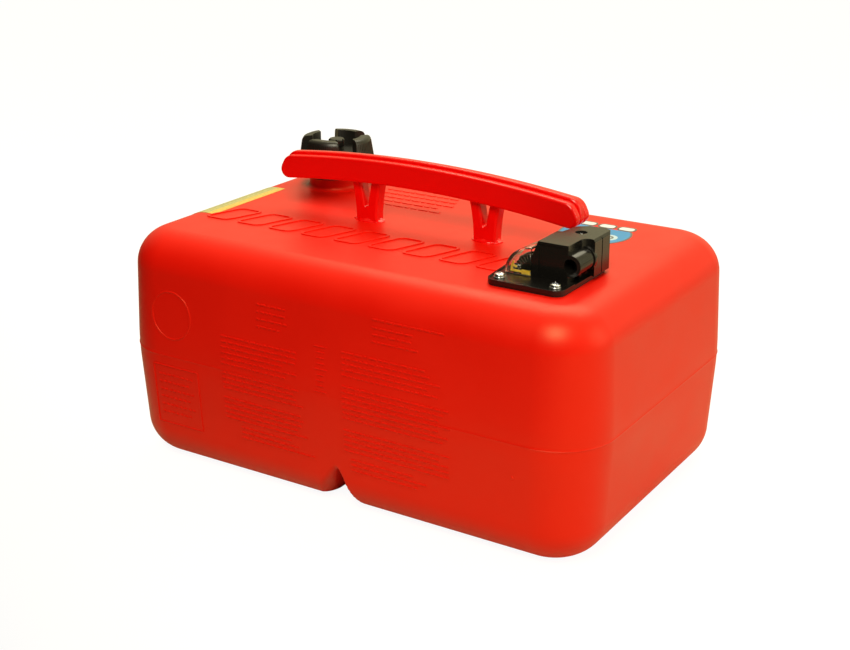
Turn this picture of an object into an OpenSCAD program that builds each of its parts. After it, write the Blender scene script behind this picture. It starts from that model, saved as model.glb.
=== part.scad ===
// Portable outboard fuel tank, about 25 litres, in millimetres.
// Origin: middle of the underside. +X along the length, +Y to the back, +Z up.
// The gauge float stands at empty, the filler cap and its vent screw are closed.

/* [Tank body] */
// Length at the moulding seam
tank_length = 480; // [440:1:540]
// Width at the moulding seam
tank_width = 307; // [290:1:340]
// Height of the blown body, without the handle
tank_height = 217; // [205:1:240]
// Wall of the blown body
wall = 3.6; // [2.5:0.1:4.5]
// Height of the moulding seam
seam_height = 109; // [95:1:120]
// Draft of the sides below the seam, degrees
lower_draft = 3.4; // [2:0.1:5]
// Draft of the sides above the seam, degrees
upper_draft = 2.5; // [1:0.1:4]
// Corner radius seen from above, at the seam
plan_radius = 51; // [46:1:58]
// Radius round the top edge
top_radius = 33.5; // [28:0.5:36]
// Radius round the bottom edge
base_radius = 36; // [30:0.5:38]
// How far the seam bead stands out
seam_bead = 0.5; // [0.2:0.1:1]

/* [Strap channel] */
// Place of the channel's ridge line along the length
channel_x = 3; // [-20:1:20]
// Height of the channel
channel_height = 42; // [30:1:46]
// Radius at the ridge of the channel
channel_radius = 5; // [4:0.5:8]
// Half width at the underside, on the gentle left side
channel_left = 24; // [20:1:28]
// Half width at the underside, on the steep right side
channel_right = 17; // [14:1:20]

/* [Handle] */
// Length of the grip bar along its arch
bar_length = 310; // [280:1:320]
// Width of the grip bar
bar_width = 25; // [22:0.5:30]
// Height of the grip bar's outer ribs
bar_height = 21.5; // [19:0.5:24]
// How far the middle rib stands above the outer ribs
middle_rise = 2.5; // [1:0.1:3]
// Clear height from the tank top to the bar, at the arch's highest point
hand_clearance = 38; // [36:0.5:50]
// Radius of the arch
arch_radius = 1130; // [800:10:1400]
// Place of the arch's highest point, from the bar's middle
arch_crest = -16; // [-25:1:10]
// Place of the bar's middle along the length
handle_x = 2; // [-5:1:10]
// Distance from the bar's middle to each post
post_offset = 62; // [55:1:75]
// Depth of a post, across the bar
post_depth = 13; // [11:0.5:16]
// Outer width of a post at its top
post_top_width = 34; // [30:0.5:36]
// Outer width of a post at its foot
post_foot_width = 22; // [19:0.5:24]
// Width of one strut of a post
strut_width = 10.5; // [8:0.5:12]
// Height of the collar round a post's foot
collar_height = 3.5; // [2:0.5:5]
// Depth of the foot stub moulded into the tank top
stub_depth = 9; // [7:0.5:11]
// Radius of the foot stub
stub_radius = 8; // [6:0.5:9]

/* [Filler neck and cap] */
// Distance from the tank's left side to the middle of the neck
neck_from_left = 80.5; // [78:0.5:100]
// Distance from the tank's back to the middle of the neck
neck_from_back = 65.5; // [64:0.5:84]
// Outer radius of the neck
neck_radius = 27.5; // [25:0.5:29]
// Radius over the neck's thread
thread_radius = 29; // [27:0.5:30.5]
// Radius of the filling bore
filler_radius = 23.5; // [20:0.5:24]
// Height of the neck above the tank top
neck_height = 27; // [23:0.5:30]
// Radius of the cap at its lower edge
cap_base_radius = 39; // [37:0.5:42]
// Radius of the cap at its crown
cap_top_radius = 33.3; // [32:0.1:36]
// Gap between the tank top and the cap's lower edge
cap_gap = 14; // [10:0.5:16]
// Height of the cap
cap_height = 36; // [32:0.5:42]
// Depth of the four notches in the crown
notch_depth = 14; // [8:0.5:14]
// Width of the notches
notch_width = 18; // [12:0.5:20]
// Turn of the notches about the cap's axis, degrees
notch_turn = 54; // [0:1:90]
// Inner radius of the crown wall
crown_inner_radius = 24; // [20:0.5:26]
// Thickness of the cap's sealing ring
cap_seal_thickness = 2.5; // [1.5:0.1:3]
// Radius of the vent screw's knob
vent_knob_radius = 8; // [6:0.5:9]
// Height of the vent screw's knob
vent_knob_height = 7; // [5:0.5:9]
// Radius of the vent screw's shank
vent_shank_radius = 3; // [2:0.1:3.5]

/* [Outlet plate and head] */
// Distance from the tank's right side to the middle of the outlet opening
outlet_from_right = 85; // [82:0.5:100]
// Distance from the tank's front to the middle of the outlet opening
outlet_from_front = 87; // [83:0.5:104]
// Radius of the outlet opening in the tank
opening_radius = 26.6; // [26.5:0.1:27]
// Screw spacing along the length
screw_pitch_x = 50; // [48:0.5:54]
// Screw spacing across the width
screw_pitch_y = 57; // [56:0.5:60]
// Thickness of the outlet gasket
gasket_thickness = 1.5; // [1:0.1:3]
// Thickness of the outlet plate
plate_thickness = 3; // [2.5:0.1:5]
// Height of the rim round the plate's edge
plate_rim = 1; // [0.5:0.1:1.5]
// Height of the outlet head above the plate
head_height = 30.5; // [28:0.5:36]
// Radius of the outlet boss
boss_radius = 9; // [8.5:0.1:9.5]
// Radius of the outlet port's thread bore
port_radius = 5.9; // [5:0.1:6.2]
// Length of the outlet port's thread bore
port_length = 14; // [10:0.5:16]
// Radius of the fuel passages
passage_radius = 2.5; // [2:0.1:3]
// Radius of the screws' shanks
screw_radius = 2; // [1.6:0.1:2.2]
// Radius of the screws' heads
screw_head_radius = 4.2; // [3.8:0.1:4.4]
// Thickness of the washers
washer_thickness = 0.9; // [0.6:0.1:1.2]

/* [Fuel gauge] */
// Outer radius of the clear gauge lens
lens_radius = 23.8; // [23.6:0.1:25]
// Wall of the lens
lens_wall = 1.4; // [1:0.1:1.5]
// Depth of the lens, front to back
lens_depth = 21.5; // [21:0.5:22.5]
// Radius over the dial's teeth
dial_radius = 17.5; // [16:0.1:18]
// Number of teeth on the dial
dial_teeth = 9; // [7:1:12]
// Length of the needle, from its shaft to its fork
needle_length = 19; // [17:0.1:19]
// Radius of the needle's shaft
shaft_radius = 1.5; // [1:0.1:1.8]
// Radius of the arm's wire
wire_radius = 1.25; // [1:0.05:1.5]
// Length of the arm's leg below the shaft
leg_length = 30; // [26:1:34]
// Lean of the leg at empty, degrees
leg_lean = 28.5; // [24:0.5:30]
// Distance from the shaft to the float along the tank, at empty
float_run = 87.5; // [80:0.5:95]
// Radius of the float
float_radius = 15; // [12:0.5:16]
// Length of the float
float_length = 42; // [36:1:46]
// Height of the float's middle above the tank's floor, at empty
float_rest = 24; // [20:1:30]

/* [Pick-up] */
// Outer radius of the pick-up tube
tube_radius = 5.5; // [4.8:0.1:6]
// Wall of the pick-up tube
tube_wall = 1.45; // [1:0.05:1.6]
// Gap between the strainer and the tank's floor
strainer_gap = 4; // [3:0.5:8]
// Radius of the strainer
strainer_radius = 7.5; // [7:0.1:8]
// Height of the strainer
strainer_height = 16; // [12:0.5:20]

/* [Labels] */
// Thickness of the labels
label_thickness = 0.25; // [0.2:0.05:0.4]
// Radius of the round decal
round_decal_radius = 33; // [28:0.5:34]
// Length of the edge label, across the tank
edge_label_length = 108; // [80:1:120]
// Width of the edge label, round the edge
edge_label_width = 40; // [30:1:50]
// How far the edge label runs onto the flat top
edge_label_flat = 10; // [4:1:16]

/* [Hidden] */

$fn = 64;
eps = 0.01;
// Parts on different bodies stay this far apart where curved faces meet
free_gap = 0.4;
// Radial clearance of a shaft or screw in its hole
fit = 0.05;
// Segments of a hull's round children
hull_fn = 48;
// Degrees per step along the tank's edge rounds
arc_step = 9;

tank_red = "orangered";
handle_red = "red";
black_plastic = "#1b1b1b";

// Places of the fittings on the tank top
neck_x = -tank_length / 2 + neck_from_left;
neck_y = tank_width / 2 - neck_from_back;
outlet_x = tank_length / 2 - outlet_from_right;
outlet_y = -tank_width / 2 + outlet_from_front;

// Levels, from the tank top upwards
plate_bottom = tank_height + gasket_thickness;
plate_top = plate_bottom + plate_thickness;
head_top = plate_top + head_height;

// ---- tank body ----

// Outline of one corner post: the body's side profile, moved inwards by w.
function base_centre(w) = plan_radius - w
    - (base_radius - w + (seam_height - base_radius) * sin(lower_draft)) / cos(lower_draft);
function top_centre(w) = plan_radius - w
    - (top_radius - w + (tank_height - top_radius - seam_height) * sin(upper_draft)) / cos(upper_draft);
function corner_profile(w) = concat(
    [[0, w]],
    [for (a = [-90 : arc_step : -lower_draft - 1])
        [base_centre(w) + (base_radius - w) * cos(a), base_radius + (base_radius - w) * sin(a)]],
    [[base_centre(w) + (base_radius - w) * cos(lower_draft),
        base_radius - (base_radius - w) * sin(lower_draft)]],
    [[plan_radius - w, seam_height]],
    [[top_centre(w) + (top_radius - w) * cos(upper_draft),
        tank_height - top_radius + (top_radius - w) * sin(upper_draft)]],
    [for (a = [arc_step : arc_step : 90])
        [top_centre(w) + (top_radius - w) * cos(a),
            tank_height - top_radius + (top_radius - w) * sin(a)]],
    [[0, tank_height - w]]);

module at_corners() {
    for (sx = [-1, 1])
        for (sy = [-1, 1])
            translate([sx * (tank_length / 2 - plan_radius), sy * (tank_width / 2 - plan_radius), 0])
                children();
}

// The body's outer form (w = 0) or the form of its inside (w = wall)
module body_form(w) {
    hull()
        at_corners()
            rotate_extrude($fn = hull_fn)
                polygon(corner_profile(w));
}

module seam_line() {
    hull()
        at_corners()
            translate([0, 0, seam_height - 1])
                cylinder(r = plan_radius + seam_bead, h = 2, $fn = hull_fn);
}

// Channel across the underside for a hold-down strap. grow adds the wall round it.
module strap_channel(grow) {
    r = channel_radius + grow;
    ridge_z = channel_height - channel_radius;
    // directions square to the two sloping sides
    left_angle = atan2(channel_height - channel_radius, channel_left - channel_radius);
    right_angle = atan2(channel_height - channel_radius, channel_right - channel_radius);
    translate([channel_x, 0, 0])
        rotate([90, 0, 0]) {
            translate([0, ridge_z, 0])
                cylinder(r = r, h = tank_width + 2, center = true);
            linear_extrude(height = tank_width + 2, center = true)
                polygon([
                    [-channel_left - grow / sin(left_angle), 0],
                    [-channel_left - grow / sin(left_angle), -1],
                    [channel_right + grow / sin(right_angle), -1],
                    [channel_right + grow / sin(right_angle), 0],
                    [r * sin(right_angle), ridge_z + r * cos(right_angle)],
                    [-r * sin(left_angle), ridge_z + r * cos(left_angle)]]);
        }
}

// Height of the moulded pads under the tank top that hold the stubs and inserts
pad_depth = 13;
pad_wall = 4;
boss_under = stub_radius + pad_wall;
insert_radius = 3.2;
insert_length = 8;
insert_margin = 5;

module handle_places() {
    for (side = [-1, 1])
        translate([handle_x + side * post_offset, 0, 0])
            children();
}

// Sides of the four outlet screws. The last one is long, goes down through the head and
// stands further in than the others.
screw_sides = [[-1, -1], [-1, 1], [1, -1], [1, 1]];
long_screw = 3;
long_screw_inset = [5.5, 3];
function screw_x(k) = outlet_x + screw_sides[k][0] * screw_pitch_x / 2
    - (k == long_screw ? long_screw_inset[0] : 0);
function screw_y(k) = outlet_y + screw_sides[k][1] * screw_pitch_y / 2
    - (k == long_screw ? long_screw_inset[1] : 0);
function screw_seat(k) = k == long_screw ? head_top - counterbore_depth : plate_top;

module screw_places() {
    for (k = [0 : 3])
        translate([screw_x(k), screw_y(k), 0])
            children();
}

thread_band = 15;
shoulder_height = 5;

module tank_body() {
    color(tank_red)
    difference() {
        union() {
            difference() {
                union() {
                    body_form(0);
                    seam_line();
                }
                difference() {
                    body_form(wall);
                    strap_channel(wall);
                    // bosses under the two handle feet
                    handle_places()
                        translate([0, 0, tank_height - pad_depth])
                            cylinder(r = boss_under, h = pad_depth);
                    // bosses under the four outlet screws
                    screw_places()
                        translate([0, 0, tank_height - pad_depth])
                            cylinder(r = insert_radius + insert_margin, h = pad_depth);
                }
                strap_channel(0);
            }
            // filler neck with its shoulder and the band that carries the thread
            translate([neck_x, neck_y, tank_height - wall]) {
                cylinder(r = neck_radius, h = wall + neck_height);
                translate([0, 0, wall - eps])
                    cylinder(r1 = neck_radius + shoulder_height, r2 = neck_radius, h = shoulder_height);
                translate([0, 0, wall + neck_height - thread_band])
                    cylinder(r = thread_radius, h = thread_band);
            }
        }
        translate([neck_x, neck_y, tank_height - wall - 1])
            cylinder(r = filler_radius, h = neck_height + wall + 2);
        translate([outlet_x, outlet_y, tank_height - pad_depth - 1])
            cylinder(r = opening_radius, h = pad_depth + 2);
        screw_places()
            translate([0, 0, tank_height - insert_length])
                cylinder(r = insert_radius, h = insert_length + 1);
        handle_places()
            translate([0, 0, tank_height - stub_depth])
                cylinder(r = stub_radius + fit, h = stub_depth + 1);
    }
}

module thread_inserts() {
    color("goldenrod")
    screw_places()
        translate([0, 0, tank_height - insert_length])
            difference() {
                cylinder(r = insert_radius - fit, h = insert_length);
                translate([0, 0, -1])
                    cylinder(r = screw_radius + fit, h = insert_length + 2);
            }
}

// ---- carrying handle ----

// The bar is drawn straight, with s along it and n across it, then bent to the arch.
bar_middle_z = tank_height + hand_clearance + bar_height / 2;
function bend(s, n) =
    let (turn = (s - arch_crest) / arch_radius * 180 / PI)
        [handle_x + arch_crest + (arch_radius + n) * sin(turn),
            bar_middle_z - arch_radius + (arch_radius + n) * cos(turn)];

// Both ends lean outwards to the bottom, between a top and a bottom round
bar_top_round = 12;
bar_bottom_round = 8;
bar_end_lean = 2;
bar_steps = 14;
corner_steps = 6;
// One corner of the bar's outline: centre, radius, first and last angle
function bar_corner(s, n, r, first, last) = [for (k = [0 : corner_steps])
    let (a = first + k * (last - first) / corner_steps) bend(s + r * cos(a), n + r * sin(a))];
function bar_run(from, to, n) = [for (k = [1 : bar_steps - 1])
    bend(from + (to - from) * k / bar_steps, n)];
// rise lifts the top edge, inset draws the whole outline in
function bar_outline(inset, rise) =
    let (s_top = bar_length / 2 - bar_end_lean - bar_top_round,
        s_bottom = bar_length / 2 - bar_bottom_round,
        n_top = bar_height / 2 + rise - bar_top_round,
        n_bottom = -bar_height / 2 + bar_bottom_round,
        r_top = bar_top_round - inset, r_bottom = bar_bottom_round - inset,
        // where the end's straight stretch touches both rounds
        step = [s_top - s_bottom, n_top - n_bottom],
        end_angle = atan2(step[1], step[0]) - acos((r_bottom - r_top) / norm(step)))
    concat(
        bar_corner(-s_bottom, n_bottom, r_bottom, 180 - end_angle, 270),
        bar_run(-s_bottom, s_bottom, n_bottom - r_bottom),
        bar_corner(s_bottom, n_bottom, r_bottom, -90, end_angle),
        bar_corner(s_top, n_top, r_top, end_angle, 90),
        bar_run(s_top, -s_top, n_top + r_top),
        bar_corner(-s_top, n_top, r_top, 90, 180 - end_angle));

module bar_slab(inset, rise, thickness) {
    rotate([90, 0, 0])
        linear_extrude(height = thickness, center = true)
            polygon(bar_outline(inset, rise));
}

bar_groove = 2.4;
rib_pitch = bar_width / 3;

module grip_bar() {
    bar_slab(bar_groove, 0, bar_width - 2 * bar_groove);
    for (k = [-1 : 1])
        translate([0, k * rib_pitch, 0]) {
            rise = k == 0 ? middle_rise : 0;
            // each rib's edge is rounded in three steps
            bar_slab(0, rise, rib_pitch - 4);
            bar_slab(0.6, rise, rib_pitch - 2.2);
            bar_slab(1.5, rise, rib_pitch - 0.9);
        }
}

post_top_z = tank_height + hand_clearance + bar_groove + 1;
crotch_height = 14;
// How far the collar stands out from the post's foot
collar_reach_x = 5;
collar_reach_y = 3.5;

module post() {
    half_top = post_top_width / 2;
    half_foot = post_foot_width / 2;
    for (side = [0, 1])
        mirror([side, 0, 0])
            rotate([90, 0, 0])
                linear_extrude(height = post_depth, center = true)
                    polygon([[0, tank_height], [half_foot, tank_height], [half_top, post_top_z],
                        [half_top - strut_width, post_top_z], [0.5, tank_height + crotch_height],
                        [0, tank_height + crotch_height]]);
    // collar: a flat oval bead on the tank top
    collar_radius = post_depth / 2 + collar_reach_y;
    collar_run = half_foot + collar_reach_x - collar_radius;
    for (side = [-1, 1])
        translate([side * collar_run, 0, tank_height])
            cylinder(r1 = collar_radius, r2 = collar_radius - 1.5, h = collar_height);
    translate([-collar_run, -collar_radius + 1.5, tank_height])
        cube([2 * collar_run, 2 * collar_radius - 3, collar_height]);
    translate([0, 0, tank_height - stub_depth])
        cylinder(r = stub_radius, h = stub_depth + 1);
}

module handle() {
    color(handle_red) {
        grip_bar();
        handle_places()
            post();
    }
}

// ---- outlet plate and head ----

plate_round = 9;
screw_edge = 11.5;
// The plate reaches further to the back than its screws do, under the head
plate_back = 19;
plate_left_lean = 3.5;
rim_width = 1.4;
plate_low_x = outlet_x - screw_pitch_x / 2 - screw_edge;
plate_high_x = outlet_x + screw_pitch_x / 2 + screw_edge - 1;
plate_low_y = outlet_y - screw_pitch_y / 2 - screw_edge;
plate_high_y = outlet_y + screw_pitch_y / 2 + plate_back;

module plate_form(inset, z, height) {
    r = plate_round - inset;
    hull()
        for (p = [[plate_low_x + plate_left_lean, plate_low_y], [plate_high_x, plate_low_y],
                [plate_high_x, plate_high_y], [plate_low_x, plate_high_y],
                [plate_low_x, outlet_y]])
            translate([p[0] + (p[0] < outlet_x ? plate_round : -plate_round),
                    p[1] + (p[1] < plate_high_y ? plate_round : -plate_round), z])
                cylinder(r = r, h = height, $fn = 32);
}

module outlet_gasket() {
    color("dimgray")
    difference() {
        plate_form(1, tank_height, gasket_thickness);
        translate([outlet_x, outlet_y, tank_height - 1])
            cylinder(r = opening_radius, h = gasket_thickness + 2);
        screw_places()
            translate([0, 0, tank_height - 1])
                cylinder(r = screw_radius + free_gap, h = gasket_thickness + 2);
    }
}

// Places of the gauge and the pick-up on the plate
gauge_x = outlet_x - 4;
gauge_z = plate_top + 2.5;
head_front = outlet_y - 14.5;
needle_front = head_front + 1.1;
needle_thickness = 1;
dial_front = needle_front + needle_thickness + 0.5;
dial_thickness = 2;
arm_y = outlet_y - 5.5;
hub_width = 3.6;
lug_front = outlet_y + 1;
lug_thickness = 3;
shaft_end = lug_front + lug_thickness - 0.3;
lens_front = head_front - 0.6;
lens_back = lens_front + lens_depth;
pickup_x = outlet_x + 17;
pickup_y = outlet_y + 8.5;
slot_half_x = 8;
slot_half_y = hub_width / 2 + 0.8;
spigot_length = 13;

module outlet_plate() {
    color(black_plastic)
    difference() {
        union() {
            plate_form(0, plate_bottom, plate_thickness);
            difference() {
                plate_form(0, plate_top - eps, plate_rim + eps);
                plate_form(rim_width, plate_top - 2 * eps, plate_rim + 1);
                // the head stands on the plate, so the rim stops where the head is
                translate([gauge_x - lens_radius, head_front - 1, plate_top])
                    cube([plate_high_x - gauge_x + lens_radius + 1, plate_high_y - head_front + 2,
                        plate_rim + 1]);
            }
            // lug that carries the back end of the needle's shaft
            translate([gauge_x - 4, lug_front, plate_top - eps])
                cube([8, lug_thickness, gauge_z - plate_top + 4]);
            // spigot for the pick-up tube
            translate([pickup_x, pickup_y, plate_bottom - spigot_length])
                cylinder(r = tube_radius - tube_wall - fit, h = spigot_length + 1);
        }
        screw_places()
            translate([0, 0, plate_bottom - 1])
                cylinder(r = screw_radius + 0.3, h = plate_thickness + 2);
        // slot for the gauge arm
        translate([gauge_x - slot_half_x, arm_y - slot_half_y, plate_bottom - 1])
            cube([2 * slot_half_x, 2 * slot_half_y, plate_thickness + 2]);
        translate([pickup_x, pickup_y, plate_bottom - spigot_length - 1])
            cylinder(r = passage_radius, h = spigot_length + plate_thickness + 2);
        translate([gauge_x, lug_front - 1, gauge_z])
            rotate([-90, 0, 0])
                cylinder(r = shaft_radius + fit, h = lug_thickness + 2);
    }
}

head_right = plate_high_x + 3.5;
head_back = plate_high_y - 1;
boss_x = head_right + 0.5 - boss_radius;
boss_z = plate_top + 14.2;
pocket_wall_x = boss_x - 2;
pocket_back = outlet_y + 12.5;
pocket_round = 6.5;
counterbore_radius = screw_head_radius + 0.8;
counterbore_depth = 5.5;
boss_collar = 1.2;
web_thickness = 2;
face_recess = 1;

// The head's front view: its left side leans away from the lens
lens_slope_run = 5.5;
lens_slope_drop = 14.5;
module head_front_view() {
    translate([0, head_back + 1, 0])
        rotate([90, 0, 0])
            linear_extrude(height = head_back - head_front + 2)
                polygon([[gauge_x, plate_top], [head_right, plate_top], [head_right, head_top - 2],
                    [head_right - 2, head_top], [gauge_x + lens_slope_run, head_top],
                    [gauge_x, head_top - lens_slope_drop]]);
}

// Its plan: the back left corner steps in twice, clear of the tank's screw there
module head_plan() {
    translate([0, 0, plate_top])
        linear_extrude(height = head_height)
            polygon([[gauge_x, head_front], [head_right, head_front], [head_right, head_back - 8],
                [head_right - 2.5, head_back - 2.5], [head_right - 8, head_back],
                [head_right - 22, head_back - 1], [outlet_x + 8.5, head_back - 8],
                [outlet_x + 5.5, outlet_y + 20], [gauge_x, outlet_y + 16]]);
}

module outlet_head() {
    color(black_plastic)
    difference() {
        union() {
            difference() {
                intersection() {
                    head_plan();
                    head_front_view();
                }
                // pocket beside the outlet boss, open to the front, the right and the top
                translate([pocket_wall_x, head_front - 1, plate_top - 1])
                    cube([50, pocket_back - pocket_round - head_front + 1, head_height + 2]);
                translate([pocket_wall_x + pocket_round, pocket_back - pocket_round, plate_top - 1])
                    cylinder(r = pocket_round, h = head_height + 2);
                translate([pocket_wall_x + pocket_round, pocket_back - 2 * pocket_round, plate_top - 1])
                    cube([50, 2 * pocket_round - 1.5, head_height + 2]);
            }
            // outlet boss with a collar at its root and a web under it
            translate([boss_x, head_front, boss_z])
                rotate([-90, 0, 0]) {
                    cylinder(r = boss_radius, h = pocket_back - head_front + 1);
                    translate([0, 0, pocket_back - head_front - 3])
                        cylinder(r = boss_radius + boss_collar, h = 4);
                }
            translate([boss_x - web_thickness / 2, outlet_y, plate_top])
                cube([web_thickness, pocket_back - outlet_y + 1, boss_z - plate_top]);
        }
        // outlet port and the passages that lead down to the pick-up
        translate([boss_x, head_front - 1, boss_z])
            rotate([-90, 0, 0])
                cylinder(r = port_radius, h = port_length + 1);
        translate([boss_x, head_front, boss_z])
            rotate([-90, 0, 0])
                cylinder(r = passage_radius, h = pickup_y - head_front);
        translate([pickup_x, pickup_y, boss_z])
            rotate([0, 90, 0])
                cylinder(r = passage_radius, h = boss_x - pickup_x);
        translate([pickup_x, pickup_y, plate_top - 1])
            cylinder(r = passage_radius, h = boss_z - plate_top + 1);
        // shallow recess over the front, from the lens slope to the pocket
        translate([gauge_x + lens_slope_run + 1, head_front - 1, plate_top - 1])
            cube([pocket_wall_x - gauge_x - lens_slope_run - 4, face_recess + 1, head_height - 1]);
        // long screw's hole and counterbore
        translate([screw_x(long_screw), screw_y(long_screw), plate_top - 1]) {
            cylinder(r = screw_radius + 0.3, h = head_height + 2);
            translate([0, 0, 1 + head_height - counterbore_depth])
                cylinder(r = counterbore_radius, h = counterbore_depth + 1);
        }
        // bay for the gauge's shaft and hub
        translate([gauge_x - 1, head_front + 1.1, plate_top - 1])
            cube([12, lens_back - head_front - 2.5, 16]);
        // line down the right side
        translate([head_right - 1.2, pocket_back + 11.5, plate_top - 1])
            cube([2, 1.4, head_height + 2]);
    }
}

module outlet_washers() {
    color("silver")
    for (k = [0 : 3])
        translate([screw_x(k), screw_y(k), screw_seat(k)])
            difference() {
                cylinder(r = screw_head_radius + 0.5, h = washer_thickness);
                translate([0, 0, -1])
                    cylinder(r = screw_radius + 0.2, h = washer_thickness + 2);
            }
}

head_step = 2.6;
recess_width = 1.1;

module outlet_screws() {
    color("silver")
    for (k = [0 : 3])
        translate([screw_x(k), screw_y(k), screw_seat(k) + washer_thickness])
            difference() {
                shank = screw_seat(k) + washer_thickness - tank_height + insert_length - 1;
                rotate_extrude()
                    polygon([[0, -shank], [screw_radius, -shank],
                        [screw_radius, 0], [screw_head_radius, 0],
                        [screw_head_radius, 0.5 * head_step],
                        [0.92 * screw_head_radius, 0.78 * head_step],
                        [0.7 * screw_head_radius, 0.95 * head_step], [0, head_step]]);
                for (turn = [20, 110])
                    rotate([0, 0, turn])
                        translate([-0.6 * screw_head_radius, -recess_width / 2, head_step - 1.3])
                            cube([1.2 * screw_head_radius, recess_width, 3]);
            }
}

// ---- gauge ----

seal_thickness = 0.8;
seal_width = 3;
lens_flange = 0.6;

// Quarter of a drum, left of and above the gauge, between two depths
module quarter_drum(r, front, back, z) {
    intersection() {
        translate([gauge_x, front, plate_top])
            rotate([-90, 0, 0])
                cylinder(r = r, h = back - front);
        translate([gauge_x - r - 1, front - 1, z])
            cube([r + 1, back - front + 2, r + 2]);
    }
}

module lens_seal() {
    color("dimgray")
    translate([0, 0, plate_top])
        difference() {
            translate([gauge_x - lens_radius, lens_front, 0])
                cube([lens_radius, lens_depth, seal_thickness]);
            translate([gauge_x - lens_radius + seal_width, lens_front + lens_wall, -1])
                cube([lens_radius + 1, lens_depth - 2 * lens_wall, seal_thickness + 2]);
        }
}

module gauge_lens() {
    color([0.9, 0.93, 0.95, 0.4])
    difference() {
        quarter_drum(lens_radius, lens_front, lens_back, plate_top + seal_thickness);
        quarter_drum(lens_radius - lens_wall, lens_front + lens_wall, lens_back - lens_wall,
            plate_top + seal_thickness - 1);
        translate([gauge_x - 1, lens_front + lens_wall, plate_top])
            cube([3, lens_depth - 2 * lens_wall, lens_radius - lens_wall]);
    }
}

// Depth and width of the gaps between the dial's teeth
tooth_depth = 5.5;
tooth_gap = 1.5;
dial_tab_right = 6;
dial_tab_left = 4;

module gauge_dial() {
    color(black_plastic)
    difference() {
        union() {
            intersection() {
                translate([gauge_x, dial_front, plate_top])
                    rotate([-90, 0, 0])
                        cylinder(r = dial_radius, h = dial_thickness);
                translate([gauge_x - dial_radius - 1, dial_front - 1, plate_top])
                    cube([dial_radius + 1, dial_thickness + 2, dial_radius + 1]);
            }
            translate([gauge_x - dial_tab_left, dial_front, plate_top])
                cube([dial_tab_left + dial_tab_right, dial_thickness, gauge_z - plate_top + 4.5]);
        }
        // gaps that leave a comb of teeth round the rim
        for (k = [1 : dial_teeth - 1])
            translate([gauge_x, dial_front - 1, plate_top])
                rotate([0, -k * 90 / dial_teeth, 0])
                    translate([-tooth_gap / 2, 0, dial_radius - tooth_depth])
                        cube([tooth_gap, dial_thickness + 2, tooth_depth + 2]);
        translate([gauge_x, dial_front - 1, gauge_z])
            rotate([-90, 0, 0])
                cylinder(r = shaft_radius + fit, h = dial_thickness + 2);
    }
}

module needle_shaft() {
    color("silver")
    translate([gauge_x, needle_front, gauge_z])
        rotate([-90, 0, 0])
            cylinder(r = shaft_radius, h = shaft_end - needle_front);
}

needle_hub_radius = 2.4;
fork_lean = 14;
fork_reach = 22;
pointer_width = 1.6;
pivot_length = 9;
pivot_width = 3.4;

module gauge_needle() {
    color("gold")
    difference() {
        union() {
            translate([gauge_x, needle_front, gauge_z])
                rotate([-90, 0, 0])
                    cylinder(r = needle_hub_radius, h = needle_thickness + 0.2);
            translate([gauge_x - needle_length + 1, needle_front, gauge_z - pointer_width / 2])
                cube([needle_length - 1, needle_thickness, pointer_width]);
            translate([gauge_x - pivot_length, needle_front, gauge_z - pivot_width / 2])
                cube([pivot_length, needle_thickness, pivot_width]);
            // fork at the tip: a prong, and an arc up the dial
            translate([gauge_x, needle_front, gauge_z])
                rotate([0, fork_lean, 0])
                    translate([-needle_length, 0, -pointer_width / 2])
                        cube([5, needle_thickness, pointer_width]);
            translate([gauge_x, needle_front, gauge_z])
                intersection() {
                    rotate([-90, 0, 0])
                        difference() {
                            cylinder(r = needle_length, h = needle_thickness);
                            translate([0, 0, -1])
                                cylinder(r = needle_length - pointer_width, h = needle_thickness + 2);
                        }
                    translate([-needle_length - 1, -1, -pointer_width / 2])
                        cube([6, needle_thickness + 2, needle_length * sin(fork_reach) + pointer_width]);
                }
        }
        translate([gauge_x, needle_front - 1, gauge_z])
            rotate([-90, 0, 0])
                cylinder(r = shaft_radius + 0.02, h = needle_thickness + 3);
    }
}

// Arm: the hub on the shaft, the leg down through the slot, the long wire and its end in the float
float_z = wall + float_rest;
leg_end = [gauge_x + leg_length * sin(leg_lean), gauge_z - leg_length * cos(leg_lean)];
float_x = gauge_x - float_run;
float_back = arm_y - 3;
wire_end = float_back - float_length - 2;
arm_hub_radius = 3;
// The balls at the bends stand a little proud of the wire
bend_swell = 0.3;

module rod_between(a, b, r) {
    d = b - a;
    run = norm([d[0], d[1]]);
    translate(a)
        rotate([0, atan2(run, d[2]), atan2(d[1], d[0])])
            cylinder(r = r, h = norm(d));
}

module float_arm() {
    hub = [gauge_x, arm_y, gauge_z];
    elbow = [leg_end[0], arm_y, leg_end[1]];
    tip = [float_x, arm_y, float_z];
    color("silver")
    difference() {
        union() {
            translate([gauge_x, arm_y - hub_width / 2, gauge_z])
                rotate([-90, 0, 0])
                    cylinder(r = arm_hub_radius, h = hub_width);
            rod_between(hub, elbow, wire_radius);
            translate(elbow)
                sphere(r = wire_radius + bend_swell);
            rod_between(elbow, tip, wire_radius);
            translate(tip)
                sphere(r = wire_radius + bend_swell);
            translate([float_x, wire_end, float_z])
                rotate([-90, 0, 0])
                    cylinder(r = wire_radius, h = arm_y - wire_end);
        }
        translate([gauge_x, arm_y - hub_width, gauge_z])
            rotate([-90, 0, 0])
                cylinder(r = shaft_radius + 0.02, h = 2 * hub_width);
    }
}

module gauge_float() {
    color("dimgray")
    translate([float_x, float_back - float_length, float_z])
        rotate([-90, 0, 0])
            difference() {
                rotate_extrude()
                    polygon([[0, 0], [float_radius - 2, 0], [float_radius, 2],
                        [float_radius, float_length - 2], [float_radius - 2, float_length],
                        [0, float_length]]);
                translate([0, 0, -1])
                    cylinder(r = wire_radius + 0.15, h = float_length + 2);
            }
}

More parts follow.
